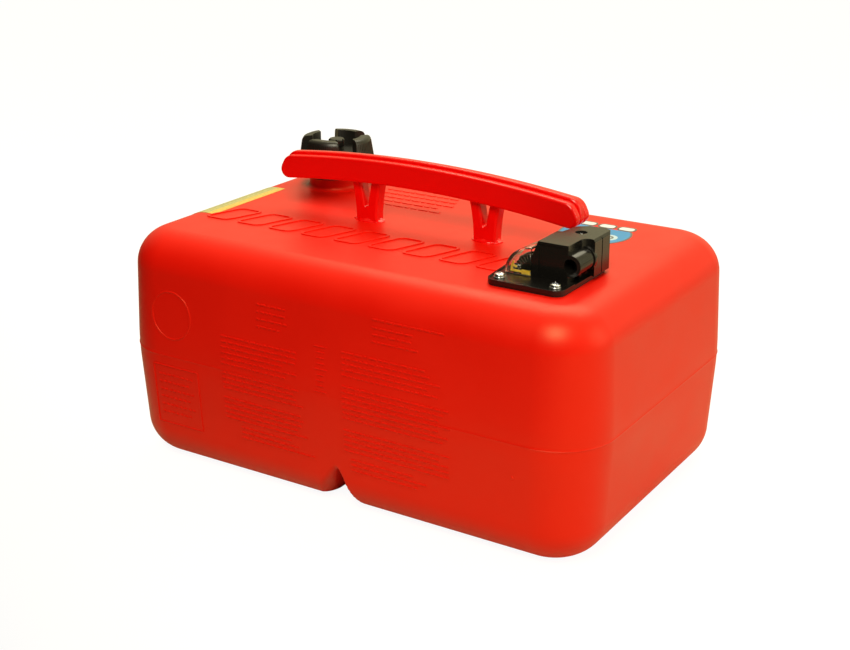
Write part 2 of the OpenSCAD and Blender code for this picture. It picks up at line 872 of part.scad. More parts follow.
module float_clip() {
    color("silver")
    translate([float_x, float_back - float_length - 0.8, float_z])
        rotate([-90, 0, 0])
            difference() {
                cylinder(r = 3.5, h = 0.8);
                translate([0, 0, -1])
                    cylinder(r = wire_radius + 0.02, h = 3);
            }
}

// ---- pick-up ----

tube_top = plate_bottom - 1;
strainer_bottom = wall + strainer_gap;
tube_bottom = strainer_bottom + 5;
strainer_wall = 1.2;

module pickup_tube() {
    color("ivory")
    translate([pickup_x, pickup_y, tube_bottom])
        difference() {
            cylinder(r = tube_radius, h = tube_top - tube_bottom);
            translate([0, 0, -1])
                cylinder(r = tube_radius - tube_wall, h = tube_top - tube_bottom + 2);
        }
}

module pickup_strainer() {
    slots = 8;
    color("white")
    translate([pickup_x, pickup_y, strainer_bottom])
        difference() {
            cylinder(r = strainer_radius, h = strainer_height);
            // the tube pushes in from above
            translate([0, 0, tube_bottom - strainer_bottom])
                cylinder(r = tube_radius + fit, h = strainer_height);
            translate([0, 0, strainer_wall])
                cylinder(r = tube_radius - 0.5, h = strainer_height);
            for (k = [0 : slots - 1])
                rotate([0, 0, k * 360 / slots])
                    translate([0, -0.7, strainer_wall])
                        cube([strainer_radius + 1, 1.4, tube_bottom - strainer_bottom - 2 * strainer_wall]);
        }
}

// ---- filler cap ----

neck_top = tank_height + neck_height;
cap_bottom = tank_height + cap_gap;
cap_top = cap_bottom + cap_height;
cap_ceiling = neck_top + cap_seal_thickness;
deck_top = max(cap_top - notch_depth, cap_ceiling + 5);
cap_bore = thread_radius + free_gap;
// Radius of the cap's outside at height z
function cap_side(z) = cap_base_radius + (cap_top_radius - cap_base_radius) * (z - cap_bottom) / cap_height;
crown_round = 3;
vent_boss_radius = vent_knob_radius - 1;
vent_boss_height = 3;
vent_seat = deck_top + vent_boss_height;
vent_seal_thickness = 1;

module cap_gasket() {
    color("dimgray")
    translate([neck_x, neck_y, neck_top])
        difference() {
            cylinder(r = thread_radius, h = cap_seal_thickness);
            translate([0, 0, -1])
                cylinder(r = filler_radius - 1, h = cap_seal_thickness + 2);
        }
}

module cap_shell() {
    color(black_plastic)
    translate([neck_x, neck_y, 0])
        difference() {
            union() {
                rotate_extrude()
                    polygon([[0, cap_bottom], [cap_base_radius, cap_bottom],
                        [cap_side(deck_top), deck_top], [0, deck_top]]);
                // crown: a wall with four notches
                difference() {
                    rotate_extrude()
                        polygon([[crown_inner_radius, deck_top - eps],
                            [cap_side(deck_top), deck_top - eps],
                            [cap_side(cap_top - crown_round), cap_top - crown_round],
                            [cap_side(cap_top) - 0.3 * crown_round, cap_top - 0.3 * crown_round],
                            [cap_side(cap_top) - crown_round, cap_top],
                            [crown_inner_radius, cap_top]]);
                    for (turn = [0, 90])
                        rotate([0, 0, notch_turn + turn])
                            translate([-cap_base_radius, -notch_width / 2, deck_top])
                                cube([2 * cap_base_radius, notch_width, cap_height]);
                }
                translate([0, 0, deck_top - eps])
                    cylinder(r = vent_boss_radius, h = vent_boss_height + eps);
            }
            translate([0, 0, cap_bottom - 1])
                cylinder(r = cap_bore, h = cap_ceiling - cap_bottom + 1);
            translate([0, 0, cap_ceiling - 1])
                cylinder(r = vent_shank_radius + fit, h = cap_height);
        }
}

module vent_seal() {
    color("dimgray")
    translate([neck_x, neck_y, vent_seat])
        difference() {
            cylinder(r = vent_boss_radius - 0.5, h = vent_seal_thickness);
            translate([0, 0, -1])
                cylinder(r = vent_shank_radius + 0.3, h = vent_seal_thickness + 2);
        }
}

vent_grips = 6;

module vent_screw() {
    knob_bottom = vent_seat + vent_seal_thickness;
    color(black_plastic)
    translate([neck_x, neck_y, 0])
        difference() {
            union() {
                translate([0, 0, cap_ceiling + 0.5])
                    cylinder(r = vent_shank_radius, h = knob_bottom - cap_ceiling);
                translate([0, 0, knob_bottom])
                    rotate_extrude()
                        polygon([[0, 0], [vent_knob_radius, 0],
                            [vent_knob_radius, vent_knob_height - 1.2],
                            [vent_knob_radius - 1.2, vent_knob_height], [0, vent_knob_height]]);
            }
            for (k = [0 : vent_grips - 1])
                rotate([0, 0, k * 360 / vent_grips])
                    translate([vent_knob_radius + 0.6, 0, knob_bottom - 1])
                        cylinder(r = 1.8, h = vent_knob_height + 2);
        }
}

// ---- labels ----

edge_label_y = -8;

label_lift = 0.05;
label_steps = 16;
label_turn = edge_label_width / top_radius * 180 / PI;
// The points of the label's bend, at radius r
function label_bend(r) = [for (k = [0 : label_steps])
    let (a = 90 + k * label_turn / label_steps) [r * cos(a), r * sin(a)]];

// Yellow label: a strip on the flat top, bent over the left edge
module edge_label() {
    side_centre = tank_length / 2 - plan_radius + top_centre(0);
    inner = label_bend(top_radius + label_lift);
    outer = label_bend(top_radius + label_lift + label_thickness);
    color("khaki")
    translate([-side_centre, edge_label_y, tank_height - top_radius])
        rotate([90, 0, 0])
            linear_extrude(height = edge_label_length, center = true)
                polygon(concat(
                    [[edge_label_flat, inner[0][1]], [edge_label_flat, outer[0][1]]],
                    outer,
                    [for (k = [label_steps : -1 : 0]) inner[k]]));
}

decal_x = tank_length / 2 - 105.5;
round_decal_y = tank_width / 2 - 84.5;
cell_size = [15.5, 12.5];
cell_count = 3;
cell_pitch = 19;
cell_y = round_decal_y + 26;

// Round decal, cut straight where the row of cells stands behind it
module round_decal() {
    color("deepskyblue")
    difference() {
        translate([decal_x, round_decal_y, tank_height])
            cylinder(r = round_decal_radius, h = label_thickness);
        translate([decal_x - 2 * round_decal_radius, cell_y - cell_size[1] / 2 - 1, tank_height - 1])
            cube([4 * round_decal_radius, 2 * round_decal_radius, label_thickness + 2]);
    }
}

module cell_decal() {
    color("white")
    for (k = [0 : cell_count - 1])
        translate([decal_x + (k - (cell_count - 1) / 2) * cell_pitch - cell_size[0] / 2,
                cell_y - cell_size[1] / 2, tank_height])
            cube([cell_size[0], cell_size[1], label_thickness]);
}

tank_body();
handle();
thread_inserts();
outlet_gasket();
outlet_plate();
outlet_head();
outlet_washers();
outlet_screws();
lens_seal();
gauge_lens();
gauge_dial();
needle_shaft();
gauge_needle();
float_arm();
gauge_float();
float_clip();
pickup_tube();
pickup_strainer();
cap_gasket();
cap_shell();
vent_seal();
vent_screw();
edge_label();
round_decal();
cell_decal();
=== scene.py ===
import math
import random

import bmesh
import bpy
from mathutils import Matrix, Vector, noise


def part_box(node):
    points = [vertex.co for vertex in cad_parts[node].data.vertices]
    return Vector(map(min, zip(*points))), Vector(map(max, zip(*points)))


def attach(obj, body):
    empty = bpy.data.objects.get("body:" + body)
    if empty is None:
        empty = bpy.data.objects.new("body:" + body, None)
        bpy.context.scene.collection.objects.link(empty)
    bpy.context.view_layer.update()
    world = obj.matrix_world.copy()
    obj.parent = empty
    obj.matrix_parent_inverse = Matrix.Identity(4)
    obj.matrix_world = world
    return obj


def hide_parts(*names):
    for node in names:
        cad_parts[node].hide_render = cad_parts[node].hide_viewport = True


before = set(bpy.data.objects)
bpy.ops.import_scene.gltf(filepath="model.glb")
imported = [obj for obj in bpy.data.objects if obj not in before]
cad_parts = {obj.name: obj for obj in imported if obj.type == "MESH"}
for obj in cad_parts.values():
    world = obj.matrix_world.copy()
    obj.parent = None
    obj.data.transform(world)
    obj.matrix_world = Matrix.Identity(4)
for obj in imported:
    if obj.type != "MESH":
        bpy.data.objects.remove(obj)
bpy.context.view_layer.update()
mm = 0.001

# ---- Camera ----
# Where the photograph was taken from, worked out from the body's outline and its seam line: the
# camera's place in metres and, in degrees, how far it is turned, tipped down and rolled.
camera_place = (0.66549, -1.05137, 0.58319)
camera_azimuth, camera_elevation, camera_roll = 32.32, 20.19, 0.10
camera_angles = (90 - camera_elevation, camera_roll, camera_azimuth)
bpy.ops.object.camera_add(
    location=camera_place, rotation=[math.radians(angle) for angle in camera_angles]
)
camera = bpy.context.object
camera.data.lens = 61.14
camera.data.sensor_width = 36
bpy.context.scene.camera = camera

# ---- Tank body ----
# Polyethylene, coloured red all through and blown in a mould of two halves. It carries their
# seam bead, a channel across the underside for a strap, and the filler neck on its top.
seam_bead = 0.5 * mm
neck_height = 27 * mm
wall = 3.6 * mm


def corners(node):
    """A CAD node's lowest and highest corners."""
    return [Vector(corner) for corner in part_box(node)]


body_high = corners("tank_body")[1]
half_length = body_high.x - seam_bead
half_width = body_high.y - seam_bead
tank_top = body_high.z - neck_height
seam_height = 109 * mm
lower_draft, upper_draft = math.radians(3.4), math.radians(2.5)
seam_round = 1.6 * mm
plan_radius, top_radius, base_radius = 51 * mm, 33.5 * mm, 36 * mm
core_x, core_y = half_length - plan_radius, half_width - plan_radius


def choose(piece, kind, test):
    """Leaves edit mode on, with only the vertices or edges that pass the test selected."""
    bpy.ops.object.mode_set(mode="EDIT")
    bpy.ops.mesh.select_mode(type=kind)
    bpy.ops.mesh.select_all(action="DESELECT")
    bpy.ops.object.mode_set(mode="OBJECT")
    points = piece.data.vertices
    if kind == "VERT":
        for point in points:
            point.select = test(point.co)
    else:
        for edge in piece.data.edges:
            edge.select = test(points[edge.vertices[0]].co, points[edge.vertices[1]].co)
    bpy.ops.object.mode_set(mode="EDIT")


def choose_all(piece):
    choose(piece, "VERT", lambda p: True)


def cut_across(axis, places):
    """Cuts the whole piece in edit mode with planes square to an axis."""
    for place in places:
        bpy.ops.mesh.select_all(action="SELECT")
        bpy.ops.mesh.bisect(plane_co=[place * a for a in axis], plane_no=axis)


def apply_modifier(piece, kind, **settings):
    modifier = piece.modifiers.new(kind.lower(), kind)
    for name, value in settings.items():
        setattr(modifier, name, value)
    bpy.ops.object.modifier_apply(modifier=modifier.name)


def take_up(piece):
    """Makes this the only piece selected, and the active one."""
    bpy.ops.object.select_all(action="DESELECT")
    piece.select_set(True)
    bpy.context.view_layer.objects.active = piece


def smooth(piece, angle):
    """Smooth shading up to an angle, with normals that keep the flat faces flat."""
    bpy.ops.object.mode_set(mode="OBJECT")
    take_up(piece)
    bpy.ops.object.shade_smooth_by_angle(angle=math.radians(angle))
    apply_modifier(piece, "WEIGHTED_NORMAL", keep_sharp=True, weight=80)


def soft_min(a, b, reach):
    """The smaller of two values, with the corner where they meet rounded off over this reach."""
    meet = max(reach - abs(a - b), 0) / reach
    return min(a, b) - meet * meet * reach / 4


def taper_at(z):
    """How far the drafted sides stand inside the seam's outline at this height."""
    above = z - seam_height
    return -soft_min(-above * math.tan(upper_draft), above * math.tan(lower_draft), seam_round)


def outwards(point):
    """The level direction out of the body at this point, square to its side or corner."""
    near_x = max(-core_x, min(core_x, point.x))
    near_y = max(-core_y, min(core_y, point.y))
    return Vector((point.x - near_x, point.y - near_y, 0)).normalized()


bpy.ops.mesh.primitive_cube_add(
    size=1, location=(0, 0, tank_top / 2), scale=(2 * half_length, 2 * half_width, tank_top)
)
tank = bpy.context.object
tank.name = "tank"
bpy.ops.object.transform_apply(location=True, rotation=False, scale=True)
choose(tank, "EDGE", lambda a, b: abs(a.z - b.z) > tank_top / 2)
bpy.ops.mesh.bevel(offset=plan_radius, segments=20, clamp_overlap=False)

# both halves draw in from the seam; cuts near it, in millimetres, carry the change of draft
seam_cuts = (-16, -12, -9, -6, -3, 0, 3, 6, 9, 12, 16)
cut_across((0, 0, 1), [seam_height + cut * mm for cut in seam_cuts])
bpy.ops.object.mode_set(mode="OBJECT")
for point in tank.data.vertices:
    point.co -= outwards(point.co) * taper_at(point.co.z)
choose(tank, "EDGE", lambda a, b: min(a.z, b.z) > tank_top - mm)
bpy.ops.mesh.bevel(
    offset=top_radius * math.tan(math.pi / 4 - upper_draft / 2), segments=16, clamp_overlap=False
)
choose(tank, "EDGE", lambda a, b: max(a.z, b.z) < mm)
bpy.ops.mesh.bevel(
    offset=base_radius * math.tan(math.pi / 4 - lower_draft / 2), segments=32, clamp_overlap=False
)

# the channel's two sides, in millimetres: a foot on the underside and a steepness for each
channel_left, channel_left_slope = -20.9, 1.75
channel_right, channel_right_slope = 21.6, 3.0
crown_round = 26
# the round where it opens at the side: soft at its left edge and crisp at its right one
mouth_soft, mouth_crisp, mouth_turns_crisp, mouth_change = 15, 2, 8, 18
# the part of the body that it reaches, and the cuts that give it points to shape, in millimetres
channel_reach, above_crown = 40, 20
across_step, up_step = 1.4, 1.5
crown_edge = 3 * mm


def channel_at(x):
    """The height of the channel's roof, which is below the underside where there is no channel."""
    left = (x / mm - channel_left) * channel_left_slope
    right = (channel_right - x / mm) * channel_right_slope
    return soft_min(left, right, crown_round) * mm


def mouth_round(x):
    softness = max(0, min(1, (mouth_turns_crisp - x / mm) / mouth_change))
    return (mouth_crisp + (mouth_soft - mouth_crisp) * softness) * mm


def side_reach(z):
    """Half the body's width at this height, round the bottom edge too."""
    if z >= base_radius * (1 - math.sin(lower_draft)):
        return half_width - taper_at(z)
    centre = (
        half_width
        - (seam_height - base_radius) * math.tan(lower_draft)
        - base_radius / math.cos(lower_draft)
    )
    return centre + math.sqrt(max(base_radius**2 - (base_radius - z) ** 2, 0))


cut_across((1, 0, 0), [k * across_step * mm for k in range(-28, 27)])
cut_across((0, 0, 1), [k * up_step * mm for k in range(24, 42)])
bpy.ops.object.mode_set(mode="OBJECT")
for point in tank.data.vertices:
    roof = channel_at(point.co.x)
    if abs(point.co.x) > channel_reach * mm or point.co.z > roof + above_crown * mm:
        continue
    opening_round = mouth_round(point.co.x)
    point.co.z = -soft_min(-point.co.z, -roof, crown_edge)
    above = point.co.z - roof
    if above < opening_round:
        drop = opening_round - max(above, 0)
        draw_in = opening_round - math.sqrt(opening_round**2 - drop**2)
        reach = side_reach(point.co.z) - draw_in
        point.co.y = max(-reach, min(reach, point.co.y))
bpy.ops.object.mode_set(mode="EDIT")
bpy.ops.mesh.select_all(action="SELECT")
bpy.ops.mesh.remove_doubles(threshold=0.05 * mm)

# the seam bead, scraped nearly flush along the middle of the front
bead_half, scraped, scraped_half = 0.6 * mm, 0.2, 60 * mm
cut_across((0, 0, 1), [seam_height - bead_half, seam_height + bead_half])
bpy.ops.object.mode_set(mode="OBJECT")
for point in tank.data.vertices:
    if abs(point.co.z - seam_height) < 0.1 * mm:
        on_middle = point.co.y < -core_y and abs(point.co.x) < scraped_half
        point.co += outwards(point.co) * seam_bead * (scraped if on_middle else 1)

# the filling hole and the hole under the outlet plate
neck_x, neck_y, filler_radius = -159.5 * mm, 88 * mm, 23.5 * mm
outlet_x, outlet_y, opening_radius = 155 * mm, -66.5 * mm, 26.6 * mm
for x, y, radius in ((neck_x, neck_y, filler_radius), (outlet_x, outlet_y, opening_radius)):
    bpy.ops.mesh.primitive_cylinder_add(
        radius=radius, depth=30 * mm, vertices=64, location=(x, y, tank_top)
    )
    cutter = bpy.context.object
    bpy.context.view_layer.objects.active = tank
    apply_modifier(tank, "BOOLEAN", operation="DIFFERENCE", object=cutter)
    bpy.data.objects.remove(cutter)
apply_modifier(tank, "SOLIDIFY", thickness=wall, offset=-1)


def sketch(name, points, edges, faces=()):
    """A new piece drawn from points and the edges or faces between them."""
    mesh = bpy.data.meshes.new(name)
    mesh.from_pydata(points, edges, faces)
    piece = bpy.data.objects.new(name, mesh)
    bpy.context.collection.objects.link(piece)
    take_up(piece)
    return piece


def arc(centre_r, centre_z, radius, first, last, steps):
    """Points of a round stretch of an outline, angles in degrees."""
    angles = [math.radians(first + (last - first) * k / steps) for k in range(steps + 1)]
    return [(centre_r + radius * math.cos(a), centre_z + radius * math.sin(a)) for a in angles]


def lathe(name, outline, place):
    """Turns an outline of (radius, height) points about an upright axis through place."""
    edges = [(k, k + 1) for k in range(len(outline) - 1)]
    piece = sketch(name, [(r, 0, z) for r, z in outline], edges)
    choose_all(piece)
    bpy.ops.mesh.spin(steps=72, angle=math.tau, center=(0, 0, 0), axis=(0, 0, 1))
    bpy.ops.mesh.select_all(action="SELECT")
    bpy.ops.mesh.remove_doubles(threshold=0.001 * mm)
    bpy.ops.mesh.normals_make_consistent(inside=False)
    bpy.ops.transform.translate(value=place)
    bpy.ops.object.mode_set(mode="OBJECT")
    return piece


neck_radius, neck_sunk = 27.5 * mm, 1.5 * mm
shoulder, rim_round = 5 * mm, 1 * mm
neck_outline = (
    [(filler_radius, -wall), (neck_radius + shoulder, -neck_sunk)]
    + arc(neck_radius + shoulder, shoulder, shoulder, 270, 180, 8)
    + arc(neck_radius - rim_round, neck_height - rim_round, rim_round, 0, 90, 3)
    + arc(filler_radius + rim_round, neck_height - rim_round, rim_round, 90, 180, 3)
    + [(filler_radius, -wall)]
)
neck = lathe("filler_neck", neck_outline, (neck_x, neck_y, tank_top))

# the thread that the cap climbs: one ridge, turned up round the neck
thread_radius, thread_pitch, thread_turns, thread_start = 29 * mm, 5 * mm, 2, 15 * mm
ridge_root, ridge_foot_half, ridge_crest_half = neck_radius - 0.3 * mm, 1.5 * mm, 0.6 * mm
ridge = [
    (ridge_root, 0, -ridge_foot_half),
    (thread_radius, 0, -ridge_crest_half),
    (thread_radius, 0, ridge_crest_half),
    (ridge_root, 0, ridge_foot_half),
]
thread = sketch("neck_thread", ridge, [(0, 1), (1, 2), (2, 3), (3, 0)])
apply_modifier(
    thread, "SCREW", angle=math.tau * thread_turns, screw_offset=thread_pitch * thread_turns,
    steps=64 * thread_turns, render_steps=64 * thread_turns, use_merge_vertices=False,
)
choose_all(thread)
bpy.ops.mesh.fill_holes(sides=4)
bpy.ops.mesh.normals_make_consistent(inside=False)
bpy.ops.transform.translate(value=(neck_x, neck_y, tank_top + thread_start))
bpy.ops.object.mode_set(mode="OBJECT")


def join(pieces):
    """Joins loose pieces into the first one."""
    take_up(pieces[0])
    for piece in pieces:
        piece.select_set(True)
    bpy.ops.object.join()
    return pieces[0]


for part in (tank, neck, thread):
    smooth(part, 40)
join([tank, neck, thread])


def feed(node, inputs):
    """Sets a node's inputs. One that is given another node's output is linked to it."""
    for name, value in inputs.items():
        socket = node.inputs[name]
        if isinstance(value, bpy.types.NodeSocket):
            node.id_data.links.new(value, socket)
        elif socket.type == "RGBA":
            socket.default_value = (*value, 1)
        else:
            socket.default_value = value


def put(tree, kind, inputs, **settings):
    """Adds a shader node of this kind, with its settings and inputs."""
    node = tree.nodes.new("ShaderNode" + kind)
    for name, value in settings.items():
        setattr(node, name, value)
    feed(node, inputs)
    return node


def object_place(tree):
    return put(tree, "TexCoord", {}).outputs["Object"]


def work_out(tree, operation, *values):
    """A sum on values in a material, such as a product or a comparison."""
    return put(tree, "Math", dict(enumerate(values)), operation=operation).outputs[0]


def new_group(name, inputs, outputs):
    """A node group with these named sockets, with what it is given and its result node."""
    group = bpy.data.node_groups.new(name, "ShaderNodeTree")
    for sockets, way in ((inputs, "INPUT"), (outputs, "OUTPUT")):
        for socket, kind in sockets.items():
            group.interface.new_socket(name=socket, socket_type="NodeSocket" + kind, in_out=way)
    given = group.nodes.new("NodeGroupInput").outputs
    return group, given, group.nodes.new("NodeGroupOutput")


def make_moulded_skin():
    """Node group for every moulded plastic: a slow drift of tone and gloss, and a fine grain."""
    group, given, result = new_group(
        "moulded_skin",
        {"Colour": "Color", "Gloss loss": "Float", "Drift": "Float"},
        {"Base Color": "Color", "Roughness": "Float", "Height": "Float"},
    )
    place = object_place(group)
    slow = put(group, "TexNoise", {"Vector": place, "Scale": 14, "Detail": 3}).outputs["Fac"]
    grain = put(group, "TexNoise", {"Vector": place, "Scale": 900, "Detail": 2}).outputs["Fac"]
    off_middle = work_out(group, "SUBTRACT", slow, 0.5)
    tone = work_out(group, "MULTIPLY_ADD", off_middle, given["Drift"], 1)
    tinted = put(group, "VectorMath", {0: given["Colour"], "Scale": tone}, operation="SCALE")
    rough = work_out(group, "MULTIPLY_ADD", off_middle, 0.2, given["Gloss loss"])
    feed(result, {"Base Color": tinted.outputs[0], "Roughness": rough, "Height": grain})
    return group


moulded_skin = make_moulded_skin()


def new_material(name):
    material = bpy.data.materials.new(name)
    material.use_nodes = True
    return material


def shader_of(material):
    return material.node_tree.nodes["Principled BSDF"]


def moulded(name, colour, rough, grain=0.03, drift=0.12):
    """A moulded plastic in this colour; grain is the depth of its skin in millimetres."""
    material = new_material(name)
    tree = material.node_tree
    values = {"Colour": colour, "Gloss loss": rough, "Drift": drift}
    skin = put(tree, "Group", values, node_tree=moulded_skin).outputs
    bump = put(tree, "Bump", {"Height": skin["Height"], "Distance": grain * mm})
    feed(
        shader_of(material),
        {
            "Base Color": skin["Base Color"],
            "Roughness": skin["Roughness"],
            "Normal": bump.outputs["Normal"],
        },
    )
    return material


def paint(piece, material):
    piece.data.materials.clear()
    piece.data.materials.append(material)


tank_red = moulded("tank_red", (0.80, 0.006, 0.0015), 0.4)
feed(shader_of(tank_red), {"Specular IOR Level": 0.45, "Specular Tint": (1, 0.75, 0.4)})
paint(tank, tank_red)
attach(tank, "tank")
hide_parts("tank_body")

# ---- Raised marks on the tank ----
# Low reliefs of the mould, in the body's own plastic. The front has blocks of short bars, a
# scale, a framed panel, a ring and a nub, and the top has broken lines and a band of links.
relief = 0.65 * mm
bar_tall, bar_gap, bar_shortest, bar_longest = 1.5 * mm, 1.3 * mm, 2.2 * mm, 8 * mm
dice = random.Random(7)
marks = bmesh.new()


def front_at(x, z):
    """Where the front of the body is at this place, round its corners too."""
    radius = plan_radius - taper_at(z)
    past = max(abs(x) - core_x, 0)
    return -core_y - math.sqrt(radius**2 - past**2)


def raise_bar(x, z, long, tall):
    """A low bar on the front; x and z are its middle."""
    place = Matrix.Translation((x, front_at(x, z), z))
    size = Matrix.Diagonal((long, 2 * relief, tall, 1))
    bmesh.ops.create_cube(marks, size=1, matrix=place @ size)


def raise_top_bar(x, y, long, wide):
    """A low bar on the flat top; x and y are its middle."""
    size = Matrix.Diagonal((long, wide, 2 * relief, 1))
    bmesh.ops.create_cube(marks, size=1, matrix=Matrix.Translation((x, y, tank_top)) @ size)


def raise_rows(first_x, last_x, top_z, rows, pitch, fill):
    """Rows of bars of uneven length; fill is how much of its row each one reaches, at the least."""
    for row in range(rows):
        x = first_x
        end = last_x - (1 - fill) * (last_x - first_x) * dice.random()
        while x < end:
            long = dice.uniform(bar_shortest, bar_longest)
            raise_bar(x + long / 2, top_z - row * pitch, long, bar_tall)
            x += long + bar_gap


# each block's left and right end, the height of its top row, its rows, their pitch and their fill
for left, right, top, rows, pitch, fill in (
    # on the left: a short block, then four long ones
    (-75, -43, 177, 4, 6.6, 0.7),
    (-115, -32, 141, 6, 5, 0.8),
    (-115, -30, 107, 4, 4.8, 0.9),
    (-115, -28, 83, 5, 4.8, 0.9),
    (-98, -20, 57, 3, 5, 0.6),
    # on the right: a single row, a short block under it, then four long ones
    (44, 108, 186, 1, 6, 1),
    (44, 84, 179, 3, 6, 0.8),
    (14, 106, 152, 5, 5, 0.8),
    (14, 118, 122, 7, 4.8, 0.9),
    (14, 116, 82, 5, 4.8, 0.9),
    (20, 96, 55, 3, 5, 0.7),
):
    raise_rows(left * mm, right * mm, top * mm, rows, pitch * mm, fill)

# a short scale beside the middle, with every fourth mark longer
for k in range(9):
    raise_bar(-8 * mm, (112 + 5 * k) * mm, (8 if k % 4 else 14) * mm, 0.8 * mm)

# the framed panel at the left, its frame laid in short lengths that follow the corner, and rows
# of dashes inside it
panel_left, panel_right, panel_low, panel_high = -196 * mm, -144 * mm, 41 * mm, 99 * mm
panel_bar, panel_across, panel_up = 0.9 * mm, 13, 12
level_length = (panel_right - panel_left) / panel_across
for z in (panel_low, panel_high):
    for k in range(panel_across):
        raise_bar(panel_left + (k + 0.5) * level_length, z, level_length, panel_bar)
upright_length = (panel_high - panel_low) / panel_up
for x in (panel_left, panel_right):
    for k in range(panel_up):
        raise_bar(x, panel_low + (k + 0.5) * upright_length, panel_bar, upright_length)
for row in range(6):
    z = panel_high - (9 + 7.6 * row) * mm
    for k in range(8 - row % 2):
        raise_bar(panel_left + (7 + 5.2 * k) * mm, z, 3 * mm, 1.8 * mm)

# six broken lines behind the handle
for row in range(6):
    x = -106 * mm
    while x < (-20 - 10 * dice.random()) * mm:
        long = dice.uniform(4, 11) * mm
        raise_top_bar(x + long / 2, (112 - 12 * row) * mm, long, 3.2 * mm)
        x += long + 2 * mm
mark_mesh = bpy.data.meshes.new("raised_marks")
marks.to_mesh(mark_mesh)
marks.free()
raised_marks = bpy.data.objects.new("raised_marks", mark_mesh)
bpy.context.collection.objects.link(raised_marks)
take_up(raised_marks)
apply_modifier(raised_marks, "BEVEL", width=0.2 * mm, segments=1, limit_method="NONE")

# the ring, laid on the front, and the nub
ring_x, ring_z, ring_radius, ring_flat = -172 * mm, 148 * mm, 22 * mm, 0.5
bpy.ops.mesh.primitive_torus_add(
    major_radius=ring_radius, minor_radius=0.9 * mm, major_segments=72, minor_segments=10,
    location=(ring_x, front_at(ring_x, ring_z), ring_z), rotation=(math.pi / 2 - upper_draft, 0, 0),
)
ring = bpy.context.object
ring.scale = (1, 1, ring_flat)
bpy.ops.object.transform_apply(location=True, rotation=True, scale=True)
nub_x, nub_z, nub_flat = 176 * mm, 79.5 * mm, 0.4
bpy.ops.mesh.primitive_uv_sphere_add(
    segments=24, ring_count=12, radius=1.6 * mm, location=(nub_x, front_at(nub_x, nub_z), nub_z)
)
nub = bpy.context.object
nub.scale = (1, nub_flat, 1)
bpy.ops.object.transform_apply(location=True, rotation=True, scale=True)

# the large band on the top: one slanted link, then its copies beside it
link_count, link_pitch, link_wide, link_deep, link_slant = 9, 36 * mm, 27 * mm, 40 * mm, 14 * mm
band_x, band_y, link_round, link_bar, link_high = -33 * mm, -52 * mm, 7 * mm, 2.2 * mm, 1 * mm


def copies(piece, count):
    """The piece and its copies, each with its own mesh, as many as count in all."""
    twins = [piece]
    while len(twins) < count:
        twin = piece.copy()
        twin.data = piece.data.copy()
        bpy.context.collection.objects.link(twin)
        twins.append(twin)
    return twins


bpy.ops.mesh.primitive_plane_add(size=1, location=(0, 0, 0))
first_link = bpy.context.object
choose_all(first_link)
bpy.ops.transform.resize(value=(link_wide, link_deep, 1))
bpy.ops.mesh.bevel(offset=link_round, segments=6, affect="VERTICES", clamp_overlap=False)
bpy.ops.mesh.select_all(action="SELECT")
bpy.ops.mesh.inset(thickness=link_bar, depth=0)
bpy.ops.mesh.delete(type="FACE")
bpy.ops.mesh.select_all(action="SELECT")
bpy.ops.mesh.extrude_region_move(TRANSFORM_OT_translate={"value": (0, 0, link_high)})
bpy.ops.object.mode_set(mode="OBJECT")
for point in first_link.data.vertices:
    point.co.x += point.co.y / link_deep * link_slant
links = copies(first_link, link_count)
for k, link in enumerate(links):
    link_x = band_x + (k - (link_count - 1) / 2) * link_pitch
    link.data.transform(Matrix.Translation((link_x, band_y, tank_top)))
link_band = join(links)
choose_all(link_band)
bpy.ops.mesh.normals_make_consistent(inside=False)
bpy.ops.object.mode_set(mode="OBJECT")
apply_modifier(
    link_band, "BEVEL",
    width=0.2 * mm, segments=2, limit_method="ANGLE", angle_limit=math.radians(50),
)
for piece in (raised_marks, ring, nub, link_band):
    smooth(piece, 50)
join([raised_marks, ring, nub, link_band])
paint(raised_marks, tank_red)
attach(raised_marks, "tank")

# ---- Carrying handle ----
# One glossy injection moulding: three ribs bent to one arch, on two V-shaped posts whose feet
# were pressed hot into the tank top, so that a wavy collar of melted plastic stands round each.
bar_length, bar_width, bar_height = 310 * mm, 25 * mm, 21.5 * mm
middle_rise, arch_radius, arch_crest, handle_x = 2.5 * mm, 1130 * mm, -16 * mm, 2 * mm
hand_clearance, post_offset = 38 * mm, 62 * mm
bar_top_round, bar_bottom_round, bar_end_lean = 12 * mm, 8 * mm, 2 * mm
bar_middle = tank_top + hand_clearance + bar_height / 2
bar_steps, round_steps = 24, 6
rib_pitch, rib_edge = bar_width / 3, 2.4 * mm


def bend(s, n):
    """A point s along the straight bar and n above its middle line, bent to the arch."""
    turn = (s - arch_crest) / arch_radius
    return (
        handle_x + arch_crest + (arch_radius + n) * math.sin(turn),
        bar_middle - arch_radius + (arch_radius + n) * math.cos(turn),
    )


